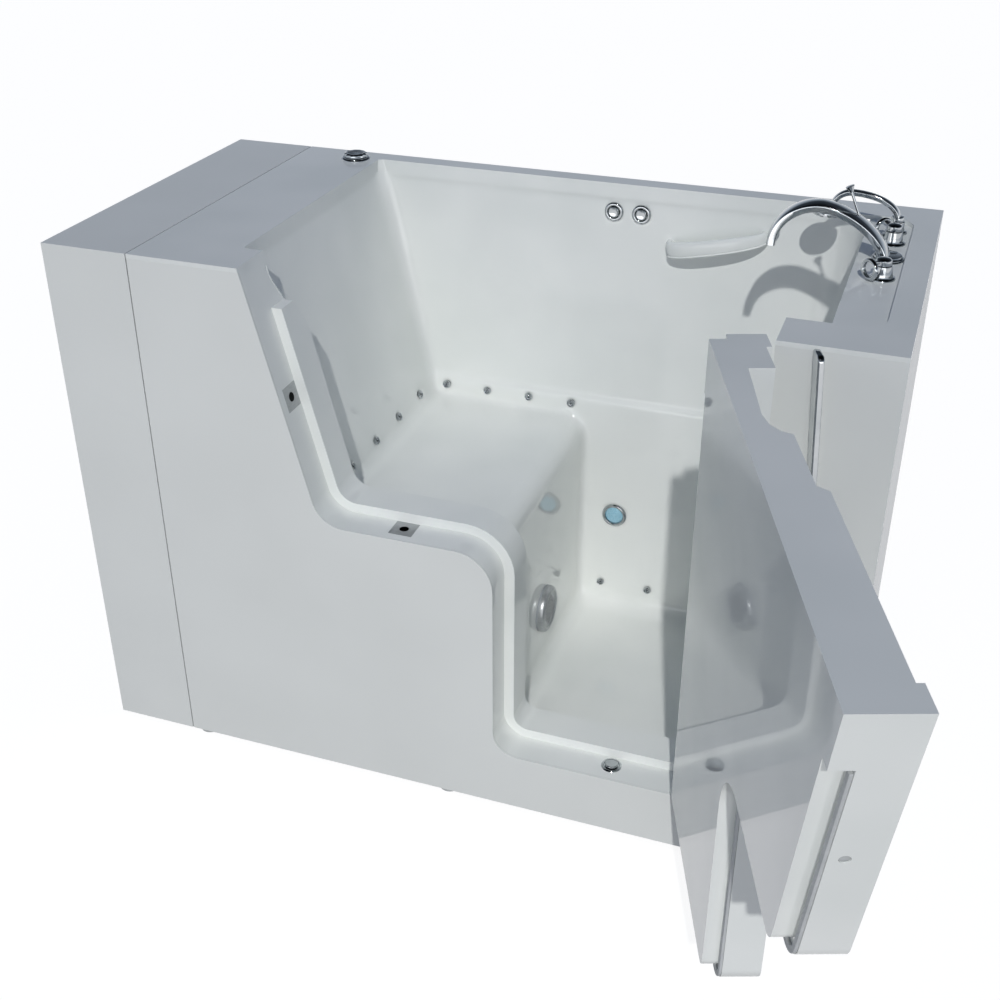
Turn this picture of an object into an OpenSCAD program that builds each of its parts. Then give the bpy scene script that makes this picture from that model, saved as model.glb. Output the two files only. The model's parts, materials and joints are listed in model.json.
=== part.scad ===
// Walk-in bathtub with an outward-opening L-shaped door, a seat and a footwell.
// Millimetres, +Z up. The origin is the centre of the footprint, on the floor.
// The front, where the door is, faces -Y. The seat is at the left, at -X.

/* [Tub] */
// Overall length, with the filler panel at the left end
length = 1524; // [1400:1:1700]
// Overall width from front to back
width = 736.6; // [700:1:820]
// Height of the deck above the floor
height = 1079.5; // [1030:1:1150]
// Width of the filler panel at the left end
extension = 177.8; // [120:1:200]
// Thickness of the moulded shell
wall = 8; // [6:0.5:10]
// Thickness of the outer panels
skin = 6; // [4:0.5:8]
// Width of the back rim
back_rim = 41; // [38:1:60]

/* [Seat and footwell] */
// Height of the seat
seat_height = 548; // [500:1:560]
// Depth of the seat from the backrest to the riser
seat_depth = 356; // [330:1:380]
// Height of the footwell floor
floor_height = 62; // [60:1:80]
// Width of the deck at the right end
right_deck = 129; // [120:1:140]
// Lean of the backrest and of the door's sloping edge
lean = 14; // [10:0.5:16]

/* [Door] */
// Angle the door stands open at rest
door_open = 110; // [0:1:110]
// Thickness of the door
door_thickness = 91; // [88:1:98]
// Height of the threshold
sill_height = 135; // [120:1:150]
// Height of the step in the opening beside the seat
step_height = 588; // [570:1:620]
// Width of the opening at foot level
leg_width = 460; // [420:1:480]
// Width of the step in the opening
step_run = 344; // [320:1:360]
// Width of the front post at the hinge side
post_width = 199; // [190:1:220]
// Width of the raised rim the door shuts on
rim = 20; // [16:1:24]
// Gap around the shut door
edge_gap = 8; // [7:0.5:10]

/* [Fittings] */
// Diameter of a jet
jet_d = 18; // [16:1:22]
// Diameter of the suction cover
suction_d = 104; // [96:1:112]
// Diameter of the light
light_d = 57; // [52:1:62]
// Reach of the spout
spout_reach = 212; // [180:1:230]
// Rise of the spout above the shelf
spout_rise = 104; // [90:1:120]
// Width of the spout
spout_width = 50; // [40:1:56]
// Spacing of the taps along the shelf
tap_pitch = 93; // [90:1:96]
// Length of the bar on the front post
bar_length = 400; // [300:1:450]
// Outside diameter of the waste pipe
waste_d = 48.3; // [40:0.1:50]

/* [Hidden] */
$fn = 48;

// Edges of the tub, measured from the left front corner of the footprint
top = height + 6;
x_tub = extension;
x_end = length;
x_jamb = x_end - post_width;
x_leg = x_jamb - leg_width;
x_step = x_leg - step_run;
x_right = x_end - right_deck;
x_riser = x_leg - 27;
x_foot = x_riser - seat_depth;
y_back = width - back_rim;
// The back wall falls back under the rim, then leans in to a ledge above the seat
wall_y = y_back + 2;
y_ledge = y_back - 6;
y_low = y_ledge - 9;
cove = seat_height + 46;
band_z = height - 36;
// The front wall is thick up to the rim's end and thinner at the deck
y_front = 145;
y_lip = 97;
y_seal = 67;
rim_top = height - 94;
deck = wall;
deck_under = height - deck;
shelf_z = height - deck;
shelf_far = x_end - 46;
t = tan(lean);
s = 1 / cos(lean);
dirt = 10;
// Hinge axis, near the front face of the shut door
hx = x_jamb - 18;
hy = 5;
hinge_gap = 4;
hinge_r = 5;
pin_r = 2.95;
hinge_heights = [sill_height + 95, (sill_height + height) / 2, height - 150];
plug = 62;
// Latch bolts and their plates in the reveal
plate = 46;
plate_fit = 0.2;
plate_y = 43;
bolt_r = 7;
bolt_z = height - 253;
bolt_x = x_step + step_run * 0.447;
lever_x = x_step + 134;
lever_z = step_height + 212;
// Taps along the shelf
tap_x = x_end - 76;
tap_y = 345;
spout_y = tap_y + tap_pitch + 5;
cold_y = spout_y + tap_pitch - 3;
shower_y = cold_y + 64;
// Frame under the tub
tube = 30;
foot_h = floor_height - wall - tube;
frame_z = foot_h + tube;
tray_z = frame_z + skin;
pump_y = 400;
pump_z = 215;
pump_x = x_foot + 40;
drain_x = x_jamb - 95;
drain_y = 420;
pipe_r = 11;

// Backrest position at a height, and the sloping edge of the opening
function back_x(z) = x_foot + (seat_height - z) * t;
function edge_x(z, d) = x_step + (step_height - z) * t + d * s;

// Rounded corner between three points, and a whole rounded outline
function unit(v) = v / norm(v);
function turn(a) = a > 180 ? a - 360 : a < -180 ? a + 360 : a;
function corner(p0, p1, p2, r, n) = r <= 0 ? [p1] :
  let (a = unit(p0 - p1), b = unit(p2 - p1), h = acos(a * b) / 2,
       c = p1 + unit(a + b) * r / sin(h),
       e0 = p1 + a * r / tan(h) - c, e1 = p1 + b * r / tan(h) - c,
       a0 = atan2(e0[1], e0[0]), da = turn(atan2(e1[1], e1[0]) - a0))
  [for (k = [0 : n]) c + r * [cos(a0 + da * k / n), sin(a0 + da * k / n)]];
function rounded(p, r, n = 8) = let (m = len(p))
  [for (i = [0 : m - 1]) each corner(p[(i + m - 1) % m], p[i], p[(i + 1) % m], r[i], n)];

// Outline of the door opening, drawn in by d, by b at the sill and by h at the hinge
function opening(d, b, h, z1 = top) = rounded([[edge_x(z1, d), z1],
  [edge_x(step_height + d, d), step_height + d], [x_leg + d, step_height + d],
  [x_leg + d, sill_height + b], [x_jamb - h, sill_height + b], [x_jamb - h, z1]],
  [0, 60 - d, 76 + d, 50 - d, 30 - d, 0]);
// Outlines of the bathing space from the front, from the side and from above, grown by w
function profile(w) = rounded([[back_x(band_z) - w * s, top], [back_x(band_z) - w * s, band_z],
  [back_x(seat_height - w) - w * s, seat_height - w], [x_riser - w, seat_height - w],
  [x_riser - w, floor_height - w], [x_right + w, floor_height - w], [x_right + w, top]],
  [0, 0, 30 + w, 42 - w, 40 + w, 40 + w, 0]);
function side(w) = rounded([[y_lip - w, top], [y_lip - w, rim_top + 48],
  [y_front - w, rim_top - 50 - w / 2], [y_front - w, floor_height - w],
  [y_low + w, floor_height - w], [y_low + w, cove - w], [y_ledge + w, cove + 4 - w],
  [wall_y + w, band_z - 84], [wall_y + w, band_z], [y_back + w, band_z + 5], [y_back + w, top]],
  [0, 30 + w, 30, 30 + w, 40 + w, 4, 6 + w, 0, 2, 2, 0]);
function plan(w) = rounded([[-50, y_lip - w], [x_right + w, y_lip - w],
  [x_right + w, wall_y + w], [-50, wall_y + w]], [0, 12 + w, 90 + w, 0]);
function lean_plan(w) = rounded([[back_x(top) - w * s, y_lip - w], [x_end + 300, y_lip - w],
  [x_end + 300, wall_y + w], [back_x(top) - w * s, wall_y + w]], [24 + w, 0, 0, 30 + w]);

module place() translate([-length / 2, -width / 2, 0]) children();
module swing() translate([hx, hy, 0]) rotate([0, 0, door_open])
  translate([-hx, -hy, 0]) children();
module along_y(y0, y1) translate([0, y1, 0]) rotate([90, 0, 0])
  linear_extrude(height = y1 - y0) children();
module along_x(x0, x1) translate([x0, 0, 0]) rotate([90, 0, 90])
  linear_extrude(height = x1 - x0) children();
module box(a, b) translate(a) cube(b - a);
module below(z) intersection() { children(); box([-900, -900, 0], [2600, 1600, z]); }
module rod_x(x0, x1, r) translate([x0, 0, 0]) rotate([0, 90, 0]) cylinder(r = r, h = x1 - x0);
module rod_y(y0, y1, r) translate([0, y1, 0]) rotate([90, 0, 0]) cylinder(r = r, h = y1 - y0);

// The bathing space, grown by w
module cavity(w) intersection() {
  along_y(0, width) polygon(profile(w));
  along_x(0, length) polygon(side(w));
  linear_extrude(height = top) polygon(plan(w));
  multmatrix([[1, 0, -t, t * top], [0, 1, 0, 0], [0, 0, 1, 0]])
    linear_extrude(height = top) polygon(lean_plan(w));
}

// Places of the jets: behind the seat, along the backrest and in the footwell
jet_rows = [for (i = [0 : 3]) [x_foot + 27 + i * 99, seat_height + 30]];
foot_rows = [for (i = [0 : 3]) [x_riser + 54 + i * 114, floor_height + 60]];
side_rows = [for (i = [0 : 3]) 245 + i * 120];
side_z = seat_height + 32;
module at_jets() {
  for (p = jet_rows) translate([p[0], y_low, p[1]]) rotate([90, 0, 0]) children();
  for (p = foot_rows) translate([p[0], y_low, p[1]]) rotate([90, 0, 0]) children();
  for (y = side_rows) translate([back_x(side_z), y, side_z])
    rotate([0, 90 - lean, 0]) children();
}
buttons_x = [x_riser + 44, x_riser + 102];
button_z = height - 60;
module at_button(i) translate([buttons_x[i], wall_y, button_z]) rotate([90, 0, 0]) children();
light_x = x_riser + 80;
light_z = floor_height + 248;
knob_x = x_tub + 132;
knob_y = width - 55;

module tub_shell() place() color("white") difference() {
  union() {
    below(deck_under + 0.5) cavity(wall);
    box([x_tub, 0, deck_under], [x_end, width, height]);
    box([x_right, y_lip - wall, shelf_z - wall], [shelf_far + wall, 668, deck_under + 0.5]);
  }
  cavity(0);
  along_y(-1, y_front) polygon(opening(0, 0, 0));
  below(rim_top) along_y(y_seal, y_front + 1) polygon(opening(rim, rim, rim));
  translate([0, 0, shelf_z]) linear_extrude(height = 20)
    polygon(rounded([[x_right - 40, y_lip], [shelf_far, y_lip], [shelf_far, 660],
      [x_right - 40, 660]], [0, 45, 45, 0]));
  at_jets() translate([0, 0, -2 * wall]) cylinder(r = jet_d * 0.36, h = 3 * wall);
  translate([x_riser, pump_y, pump_z]) rod_x(-2 * wall, wall, 25.5);
  translate([light_x, 0, light_z]) rod_y(y_low - wall, y_low + 2 * wall, light_d * 0.4);
  translate([drain_x, drain_y, 0]) cylinder(r = 26, h = floor_height + 5);
  for (x = buttons_x) translate([x, 0, button_z]) rod_y(wall_y - wall, wall_y + 2 * wall, 14.5);
  translate([knob_x, knob_y, deck_under - 5]) cylinder(r = 16, h = deck + 10);
  for (y = [tap_y, spout_y, shower_y, cold_y])
    translate([tap_x, y, shelf_z - 2 * wall]) cylinder(r = 12, h = 3 * wall);
}

// Moulded reveal round the opening, with the raised rim the door seals on
module front_surround() place() color("white") difference() {
  below(deck_under) union() {
    along_y(skin, y_front - wall) difference() {
      polygon(opening(-wall, -wall, -wall));
      polygon(opening(0, 0, 0, top + 9));
    }
    below(rim_top) along_y(y_seal, y_front - wall) difference() {
      polygon(opening(-1, -1, -1));
      polygon(opening(rim, rim, rim, top + 9));
    }
  }
  below(top) cavity(wall);
  upper_plate(plate + 2 * plate_fit, 2 + plate_fit, 0);
  lower_plate(plate + 2 * plate_fit, 2 + plate_fit, 0);
  upper_plate(0, 40, 9);
  lower_plate(0, 40, 9);
  translate([x_leg + 230, 42, sill_height - 2 * wall]) cylinder(r = 10, h = 3 * wall);
}
module upper_plate(w, deep, r) translate([edge_x(bolt_z, 0), plate_y, bolt_z])
  rotate([0, -90 - lean, 0]) {
    if (w > 0) translate([-w / 2, -w / 2, 0]) cube([w, w, deep]);
    if (r > 0) translate([0, 0, -1]) cylinder(r = r, h = deep + 1);
  }
module lower_plate(w, deep, r) translate([bolt_x, plate_y, step_height]) rotate([180, 0, 0]) {
    if (w > 0) translate([-w / 2, -w / 2, 0]) cube([w, w, deep]);
    if (r > 0) translate([0, 0, -1]) cylinder(r = r, h = deep + 1);
  }
module striker_plates() place() color("silver") difference() {
  union() { upper_plate(plate, 2, 0); lower_plate(plate, 2, 0); }
  upper_plate(0, 3, 9);
  lower_plate(0, 3, 9);
}

// Outer panels
module front_panel() place() color("white") along_y(0, skin) difference() {
  polygon([[x_tub, dirt], [x_end, dirt], [x_end, deck_under], [x_tub, deck_under]]);
  polygon(opening(0, 0, 0));
}
module end_panel() place() color("white")
  box([x_end - skin, skin, dirt], [x_end, width, deck_under]);
module extension_panel() place() color("white") difference() {
  box([0, 0, dirt], [x_tub, width, height]);
  box([skin, skin, dirt - 1], [x_tub + 1, width + 1, height - skin]);
}

// Welded frame of square tube with seven levelling feet, one of them in the middle
frame_x = [x_tub + 12, x_foot + 18, x_riser - 91, drain_x - 70, drain_x + 40, x_end - 12 - tube];
feet = [for (i = [0, 2, 5], y = [12, width - 12 - tube]) [frame_x[i], y],
  [frame_x[2], (width - tube) / 2]];
module support_frame() place() color("dimgray") {
  box([frame_x[0], 12, foot_h], [frame_x[5] + tube, 12 + tube, frame_z]);
  box([frame_x[0], width - 12 - tube, foot_h], [frame_x[3] + tube, width - 12, frame_z]);
  box([frame_x[4], width - 12 - tube, foot_h], [frame_x[5] + tube, width - 12, frame_z]);
  for (x = frame_x) box([x, 12, foot_h], [x + tube, width - 12, frame_z]);
  for (x = [frame_x[0], frame_x[5]], y = [12, width - 12 - tube])
    box([x, y, foot_h], [x + tube, y + tube, deck_under]);
  for (x = [frame_x[1], frame_x[2]]) {
    for (y = [y_front + 15, y_low - 50])
      box([x, y, foot_h], [x + tube, y + tube, seat_height - wall]);
    box([x, y_front + 15, seat_height - wall - tube], [x + tube, y_low - 20, seat_height - wall]);
  }
}
module levelling_feet() place() color("gray")
  for (p = feet) translate([p[0] + tube / 2, p[1] + tube / 2, 0]) {
    cylinder(r = 22, h = foot_h * 0.34);
    cylinder(r = 6, h = foot_h);
    translate([0, 0, foot_h * 0.7]) cylinder(r = 11, h = foot_h * 0.3, $fn = 6);
  }

// Whirlpool pump under the seat
module equipment_tray() place() color("silver") difference() {
  box([frame_x[1] + 10, y_front + 60, frame_z], [frame_x[2] + 20, y_low - 70, tray_z]);
  translate([frame_x[1] + 60, y_front + 90, 0]) cylinder(r = 6, h = 200);
}
module pump_volute() place() color("dimgray") {
  translate([pump_x + 185, pump_y, pump_z]) {
    difference() {
      union() {
        rod_x(0, 52, 66);
        rod_x(52, 74, 30);
      }
      rod_x(20, 90, 22);
    }
    difference() {
      translate([26, 40, 0]) rod_y(0, 62, 22);
      translate([26, 40, 0]) rod_y(20, 80, 17);
    }
  }
}
module pump_motor() place() color("darkgray") {
  translate([pump_x, pump_y, pump_z]) rod_x(0, 185, 58);
  box([pump_x + 20, pump_y - 45, tray_z], [pump_x + 165, pump_y + 45, pump_z - 40]);
  box([pump_x + 60, pump_y - 30, pump_z + 50], [pump_x + 130, pump_y + 30, pump_z + 82]);
}
module control_box() place() color("black") {
  box([pump_x + 10, y_front + 70, tray_z], [pump_x + 150, y_front + 130, tray_z + 170]);
  translate([pump_x + 60, y_front + 100, tray_z + 168]) cylinder(r = 10, h = 22);
}

// Suction fitting on the riser, with its pipe to the pump
module suction_body() place() color("gray") translate([x_riser, pump_y, pump_z]) difference() {
  union() {
    rod_x(0, 4, suction_d / 2);
    rod_x(-30, 2, 25);
    rod_x(-wall - 14, -wall, 38);
  }
  rod_x(-31, 5, 20);
}
module suction_cover() place() color("silver") translate([x_riser + 4, pump_y, pump_z])
  difference() {
    rotate([0, 90, 0]) {
      cylinder(r1 = suction_d / 2 - 1, r2 = suction_d / 2 - 6, h = 6);
      translate([0, 0, 6]) cylinder(r1 = suction_d / 2 - 6, r2 = suction_d / 4, h = 6);
    }
    rod_x(-1, 5, suction_d / 2 - 9);
    for (k = [-2 : 2]) box([3, k * 9 - 1.6, -26], [14, k * 9 + 1.6, 26]);
  }
module suction_pipe() place() color("white") translate([0, pump_y, pump_z]) difference() {
  rod_x(pump_x + 259, x_riser - 30, 24);
  rod_x(pump_x + 258, x_riser - 29, 20);
}

// Jets and the pipes that feed them
module jet_nozzles() place() color("silver") at_jets() difference() {
  union() {
    cylinder(r1 = jet_d / 2, r2 = jet_d / 2 - 1.5, h = 2.5);
    translate([0, 0, -wall - 6]) cylinder(r = jet_d * 0.34, h = wall + 7);
    translate([0, 0, -wall - 6]) cylinder(r = jet_d * 0.41, h = 6);
  }
  translate([0, 0, -wall - 7]) cylinder(r = jet_d * 0.16, h = wall + 20);
}
run_y = y_low + wall + 6 + pipe_r;
side_x = back_x(side_z) - (wall + 6 + pipe_r) * cos(lean);
side_pz = side_z - (wall + 6 + pipe_r) * sin(lean);
module pipe(a, b) translate(a) {
  d = b - a;
  rotate([0, acos(d[2] / norm(d)), atan2(d[1], d[0])]) cylinder(r = pipe_r, h = norm(d), $fn = 24);
  sphere(r = pipe_r, $fn = 24);
}
module jet_pipework() place() color("ivory") {
  a = [pump_x + 211, pump_y + 102, pump_z];
  b = [a[0], run_y, pump_z];
  c = [a[0], run_y, jet_rows[0][1] - 4];
  pipe(a, b);
  pipe(b, c);
  pipe([side_x, run_y, c[2]], [jet_rows[3][0], run_y, c[2]]);
  pipe([side_x, run_y, c[2]], [side_x, run_y, side_pz]);
  pipe([side_x, run_y, side_pz], [side_x, side_rows[0], side_pz]);
  pipe([x_riser + 20, run_y, pump_z], b);
  pipe([x_riser + 20, run_y, foot_rows[0][1]], [x_riser + 20, run_y, pump_z]);
  pipe([foot_rows[3][0], run_y, foot_rows[0][1]], [x_riser + 20, run_y, foot_rows[0][1]]);
  translate([side_x, side_rows[0], side_pz]) sphere(r = pipe_r, $fn = 24);
  translate([jet_rows[3][0], run_y, c[2]]) sphere(r = pipe_r, $fn = 24);
  translate([a[0], pump_y, pump_z]) rod_y(67, 110, 16.9);
}

// Light on the footwell wall
module light_housing() place() color("silver") translate([light_x, y_low, light_z])
  rotate([90, 0, 0]) difference() {
    union() {
      cylinder(r1 = light_d / 2, r2 = light_d / 2 - 3, h = 5);
      translate([0, 0, -wall - 16]) cylinder(r = light_d * 0.39, h = wall + 17);
    }
    translate([0, 0, -wall - 12]) cylinder(r = light_d * 0.36, h = wall + 30);
  }
module light_lens() place() color("lightblue") translate([light_x, y_low, light_z])
  rotate([90, 0, 0]) {
    translate([0, 0, -wall - 12]) cylinder(r = light_d * 0.36, h = wall + 13);
    translate([0, 0, 1]) cylinder(r1 = light_d * 0.36, r2 = light_d * 0.3, h = 3);
  }

// Footwell drain, its pipe, and the small drain in the threshold
module floor_drain() place() color("silver") translate([drain_x, drain_y, 0]) difference() {
  union() {
    translate([0, 0, floor_height]) cylinder(r = 36, h = 3);
    translate([0, 0, frame_z - 1]) cylinder(r = 25.5, h = wall + 2);
    translate([0, 0, frame_z - 5]) cylinder(r = 34, h = 5);
  }
  translate([0, 0, frame_z - 9]) cylinder(r = 21, h = wall + 30);
}
module drain_strainer() place() color("silver")
  translate([drain_x, drain_y, floor_height + 3]) difference() {
    union() {
      cylinder(r = 24, h = 2);
      translate([0, 0, -8]) cylinder(r = 20.9, h = 9);
    }
    for (a = [0 : 45 : 315]) rotate(a) translate([12, 0, -9]) cylinder(r = 3.5, h = 12);
    translate([0, 0, -9]) cylinder(r = 17, h = 8);
  }
module waste_pipe() place() color("ivory") {
  r = waste_d / 2;
  zc = frame_z - 5 - r;
  difference() {
    union() {
      translate([drain_x, 0, zc]) rod_y(drain_y, width, r);
      translate([drain_x, drain_y, zc]) sphere(r = r);
      translate([drain_x, drain_y, zc]) cylinder(r = r, h = frame_z - 5 - zc);
    }
    translate([drain_x, 0, zc]) rod_y(drain_y, width + 1, r - 4);
    translate([drain_x, drain_y, zc]) cylinder(r = r - 4, h = r + 9);
  }
}
module threshold_drain() place() color("silver")
  translate([x_leg + 230, 42, sill_height]) difference() {
    union() {
      cylinder(r1 = 20, r2 = 18, h = 2.5);
      translate([0, 0, -wall - 22]) cylinder(r = 9.8, h = wall + 23);
      translate([0, 0, -wall - 6]) cylinder(r = 15, h = 6, $fn = 6);
    }
    translate([0, 0, -wall - 23]) cylinder(r = 7, h = wall + 30);
  }
module threshold_cap() place() color("silver")
  translate([x_leg + 230, 42, sill_height]) difference() {
    union() {
      translate([0, 0, 2.5]) cylinder(r1 = 13, r2 = 12, h = 4);
      translate([0, 0, -8]) cylinder(r = 6.9, h = 11);
    }
    translate([0, 0, -9]) cylinder(r = 4, h = 10);
  }

// Moulded handle on the back wall, with a finger gap behind it
handle_x = x_jamb - 225;
handle_z = height - 100;
handle_r = 15;
handle_out = 38;
module grab_handle() place() color("white")
  translate([handle_x, wall_y - 1.3, handle_z]) rotate([0, -13, 0]) {
    translate([0, -handle_out, 0]) rod_x(-54, 54, handle_r);
    for (a = [0, 180]) rotate([0, a, 0]) translate([54, 0, 0]) rotate([0, 0, -90])
      rotate_extrude(angle = 90) translate([handle_out, 0]) circle(r = handle_r);
  }

// Bar on the front post
bar_x = x_jamb + 62;
bar_z = height - 4;
bar_proud = 35;
module grab_bar() place() color("silver") translate([bar_x, 0, bar_z]) intersection() {
  rotate([0, -3.5, 20]) along_x(-5.5, 5.5) polygon(rounded([[8, 0], [-bar_proud, 0],
    [-bar_proud, -bar_length], [8, -bar_length]], [0, 10, 18, 0]));
  box([-90, -90, -bar_length - 20], [90, 0, 20]);
}

// Push buttons near the top of the back wall
module button_bezels() place() color("silver") for (i = [0, 1]) at_button(i) difference() {
  union() {
    cylinder(r1 = 20, r2 = 17.5, h = 4);
    translate([0, 0, -wall - 12]) cylinder(r = 14.2, h = wall + 13);
    translate([0, 0, -wall - 5]) cylinder(r = 19, h = 5);
  }
  translate([0, 0, -wall - 8]) cylinder(r = 12, h = 40);
}
module button(i) place() color("silver") at_button(i) {
  translate([0, 0, -wall - 4]) cylinder(r = 11.6, h = wall + 9);
}
module pump_button() button(0);
module light_button() button(1);

// Air control on the deck
module air_control_base() place() color("silver") translate([knob_x, knob_y, height])
  difference() {
    union() {
      cylinder(r1 = 31, r2 = 29, h = 4);
      translate([0, 0, -deck - 26]) cylinder(r = 15.5, h = deck + 27);
    }
    translate([0, 0, -deck - 20]) cylinder(r = 11.05, h = 60);
  }
module air_control_knob() place() color("silver") translate([knob_x, knob_y, height]) {
  translate([0, 0, -deck - 10]) cylinder(r = 11, h = deck + 15);
  difference() {
    translate([0, 0, 4.3]) cylinder(r1 = 26, r2 = 24, h = 9);
    for (a = [0 : 60 : 300]) rotate(a) translate([29, 0, 3]) cylinder(r = 6, h = 12);
  }
  box([-20, -2, 13], [20, 2, 15]);
}

// Arched waterfall spout, steeper at its free end
crest_x = tap_x - 124;
tip_a = spout_reach - 122;
tip_z = shelf_z + 11;
function arm(a, b, z, p, n, k0, k1, d) = [for (k = [k0 : d : k1]) let (c = cos(90 * k / n))
  [crest_x + sign(c) * a * pow(abs(c), p), z + b * pow(abs(sin(90 * k / n)), p)]];
module band(y0, y1, t0, t1) along_y(y0, y1) polygon(concat(
  arm(128 - t0, spout_rise - 12 - t0, shelf_z + 3, 1.3, 16, 0, 16, 1),
  arm(tip_a - t0, spout_rise - 23 - t0, tip_z, 1, 16, 17, 32, 1),
  arm(tip_a - t1, spout_rise - 23 - t1, tip_z, 1, 16, 32, 17, -1),
  arm(128 - t1 - 6, spout_rise - 15 - t1, shelf_z + 3, 1.3, 16, 16, 0, -1)));
// Lift rod of the diverter, through the band of the spout
module rod_line(z0, z1, r) translate([crest_x + 62, spout_y + 6, shelf_z + spout_rise - 25])
  rotate([0, -24, 0]) translate([0, 0, z0]) cylinder(r = r, h = z1 - z0);
module spout() place() color("silver") difference() {
  band(spout_y - spout_width / 2, spout_y + spout_width / 2, 0, 13);
  box([crest_x - tip_a + 4, spout_y - 19, 0], [crest_x - tip_a + 9.5, spout_y + 19, tip_z + 12]);
  rod_line(-60, 40, 2.45);
}
module spout_collar() place() color("silver") difference() {
  union() {
    translate([tap_x, spout_y, shelf_z]) cylinder(r = 28, h = 3);
    translate([tap_x, spout_y, shelf_z - wall - 12]) cylinder(r = 11.5, h = wall + 13);
  }
  translate([tap_x, spout_y, shelf_z - 40]) cylinder(r = 7, h = 60);
}
module diverter_rod() place() color("silver") {
  rod_line(-32, 40, 2.4);
  translate([crest_x + 62, spout_y + 6, shelf_z + spout_rise - 25]) rotate([0, -24, 0])
    translate([0, 0, 36]) cylinder(r1 = 3, r2 = 8, h = 11);
}

// Tap bases and their ring handles
ring_out = 29;
module tap_bases() place() color("silver") for (y = [tap_y, cold_y]) difference() {
  translate([tap_x, y, shelf_z]) {
    cylinder(r = 23, h = 4);
    cylinder(r1 = 18, r2 = 15, h = 24);
    translate([0, 0, -wall - 12]) cylinder(r = 11.5, h = wall + 13);
  }
  translate([tap_x, y, shelf_z - 40]) cylinder(r = 7.05, h = 90);
}
module tap_handle(y, a) place() color("silver") translate([tap_x, y, shelf_z]) rotate(a) {
  translate([0, 0, -6]) cylinder(r = 7, h = 36);
  translate([0, 0, 24.4]) cylinder(r = 13, h = 10);
  translate([0, 0, 34.4]) cylinder(r1 = 13, r2 = 9, h = 3);
  box([0, -5, 30], [ring_out - 2, 5, 34.4]);
  difference() {
    translate([0, 0, 21]) rod_x(ring_out - 3.5, ring_out + 3.5, 19);
    translate([0, 0, 21]) rod_x(ring_out - 5, ring_out + 5, 12.5);
  }
}
module hot_handle() tap_handle(tap_y, 225);
module cold_handle() tap_handle(cold_y, 135);

// Hand shower standing in its cradle
bow_x = tap_x - 86;
head_x = tap_x - 124;
function bow(d, h, k) = [(k < 16 ? tap_x + d - bow_x : bow_x + d - head_x) * cos(180 * k / 32),
  h * sin(180 * k / 32)];
module shower_cradle() place() color("silver") difference() {
  translate([tap_x, shower_y, shelf_z]) {
    cylinder(r = 20, h = 4);
    cylinder(r = 14, h = 22);
    translate([0, 0, -wall - 12]) cylinder(r = 11.5, h = wall + 13);
  }
  translate([tap_x, shower_y, shelf_z - 40]) cylinder(r = 9.1, h = 90);
}
module hand_shower() place() color("silver") {
  translate([tap_x, shower_y, shelf_z - 14]) cylinder(r = 9, h = 44);
  translate([tap_x, shower_y, shelf_z + 22.4]) cylinder(r = 12, h = 8);
  translate([bow_x, 0, shelf_z + 26]) along_y(shower_y - 12, shower_y + 12)
    polygon([for (k = [0 : 32]) bow(5, 46, k), for (k = [32 : -1 : 0]) bow(-5, 36, k)]);
  translate([head_x, shower_y, shelf_z + 24]) cylinder(r = 34, h = 14);
}

// Valve body under the shelf, with the two supply tails
tail_r = 10.4;
module mixer_body() place() color("goldenrod") {
  zb = shelf_z - wall - 34;
  translate([tap_x, 0, zb]) rod_y(tap_y - 15, cold_y + 15, 14);
  for (y = [tap_y, spout_y, shower_y, cold_y])
    translate([tap_x, y, zb]) cylinder(r = 13, h = 22);
  for (y = [tap_y, cold_y]) translate([tap_x, y, zb - 60]) cylinder(r = tail_r, h = 56);
}

// Three hidden hinges
module hinge_jamb_leaves() place() color("silver") for (z = hinge_heights) difference() {
  union() {
    translate([hx, hy, z - 12]) cylinder(r = hinge_r, h = 24);
    box([hx, hy - 2.5, z - 12], [x_jamb - 1, hy + 2.5, z + 12]);
    box([x_jamb - 2.5, hy - 2.5, z - 30], [x_jamb, 46, z + 30]);
  }
  translate([hx, hy, z - 20]) cylinder(r = pin_r, h = 40);
}
module hinge_pins() place() color("gray") for (z = hinge_heights)
  translate([hx, hy, z - 29]) cylinder(r = pin_r, h = 58);
module hinge_door_leaves() place() color("silver") swing() for (z = hinge_heights)
  for (z0 = [z - 30, z + 12.3]) difference() {
    union() {
      translate([hx, hy, z0]) cylinder(r = hinge_r, h = 17.7);
      box([hx - 17, 0, z0], [hx, 2 * hy, z0 + 17.7]);
    }
    translate([hx, hy, z0 - 1]) cylinder(r = pin_r + 0.05, h = 20);
  }

// Door: outer part with a recessed face, inner plug and seal
module door_outer() place() color("white") swing() difference() {
  along_y(0, plug) polygon(opening(edge_gap, edge_gap + 2, hinge_gap, height));
  along_y(-1, 9) polygon(opening(edge_gap + 46, edge_gap + 46, 53, top));
  translate([0, 0, height - 220]) linear_extrude(height = 260)
    polygon([[x_jamb - 130, -1], [x_jamb - 130, 49], [x_jamb - 280, 56], [x_jamb - 310, 51],
      [x_jamb - 330, 39], [x_jamb - 340, 24], [x_jamb - 478, 23.5], [x_jamb - 492, 9],
      [x_jamb - 492, -1]]);
  for (z = hinge_heights) box([hx - 17, -1, z - 30.3], [x_jamb, 2 * hy, z + 30.3]);
  upper_bolt_line(1, bolt_r + 0.3, 130);
  lower_bolt_line(1, bolt_r + 0.3, 130);
  translate([lever_x, 0, lever_z]) rod_y(0, 45, 6.05);
}
module door_inner() place() color("white") swing() along_y(plug, door_thickness) {
  polygon(opening(edge_gap + rim, edge_gap + rim + 2, hinge_gap + rim + 6, height));
  intersection() {
    polygon(opening(edge_gap, edge_gap + 2, hinge_gap + 18, height));
    polygon([[0, rim_top + 4], [x_jamb, rim_top + 4], [x_jamb, height], [0, height]]);
  }
}
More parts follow.
